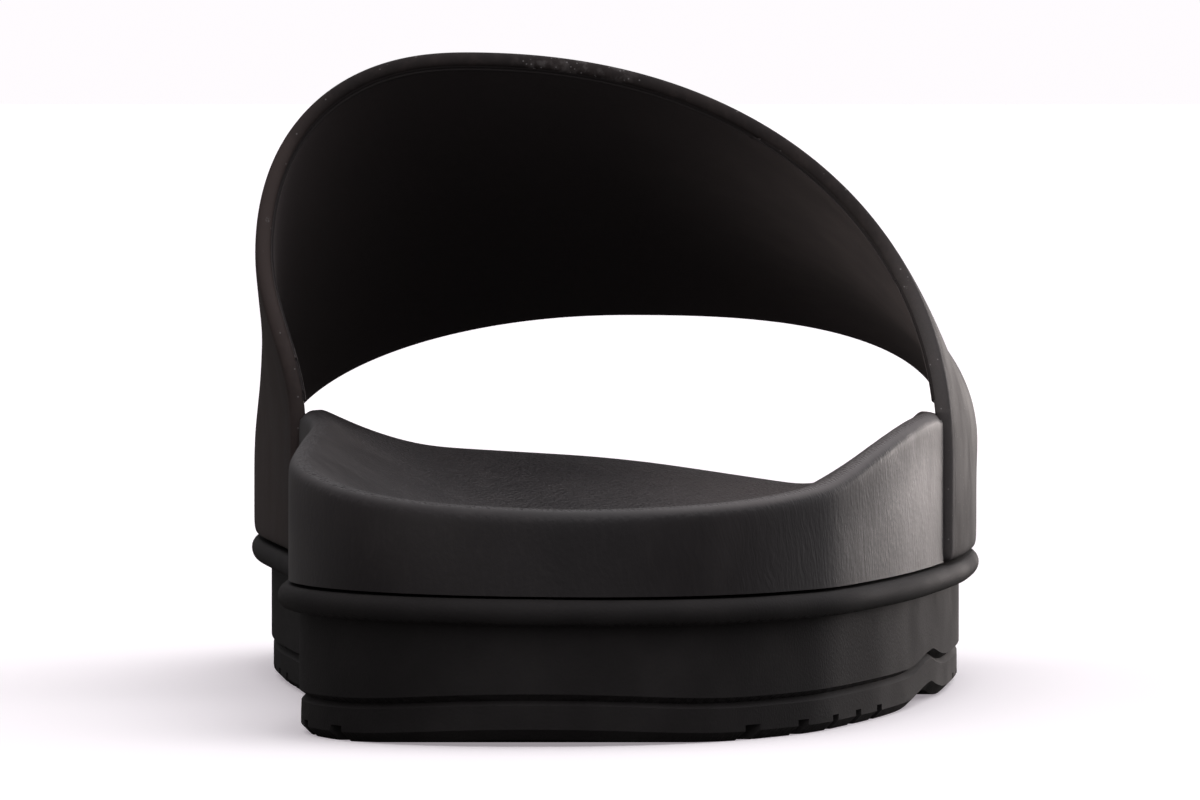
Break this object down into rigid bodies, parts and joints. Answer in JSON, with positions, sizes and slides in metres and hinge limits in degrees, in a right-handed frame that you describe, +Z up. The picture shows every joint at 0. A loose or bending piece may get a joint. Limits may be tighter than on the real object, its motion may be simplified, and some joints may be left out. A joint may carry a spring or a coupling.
{
  "type": "slide sandal",
  "caption": "Right-foot sport slide sandal: one broad moulded strap over a thick contoured footbed with heel cup and arch, on a grooved outsole with a rounded lip.",
  "frame": {"origin": "on the ground under the middle of the shoe's box", "axes": "+Y from heel to toe, +X to the outer side of the right foot, +Z up"},
  "size_m": [0.1049, 0.28, 0.0893],
  "materials": {
    "outsole_rubber": "matt moulded",
    "footbed_foam": "fine leather-like grain",
    "strap_coating": "smooth soft matt"
  },
  "bodies": {
    "root": {"outsole": "outsole_rubber", "footbed": "footbed_foam", "strap": "strap_coating"}
  },
  "joints": []
}
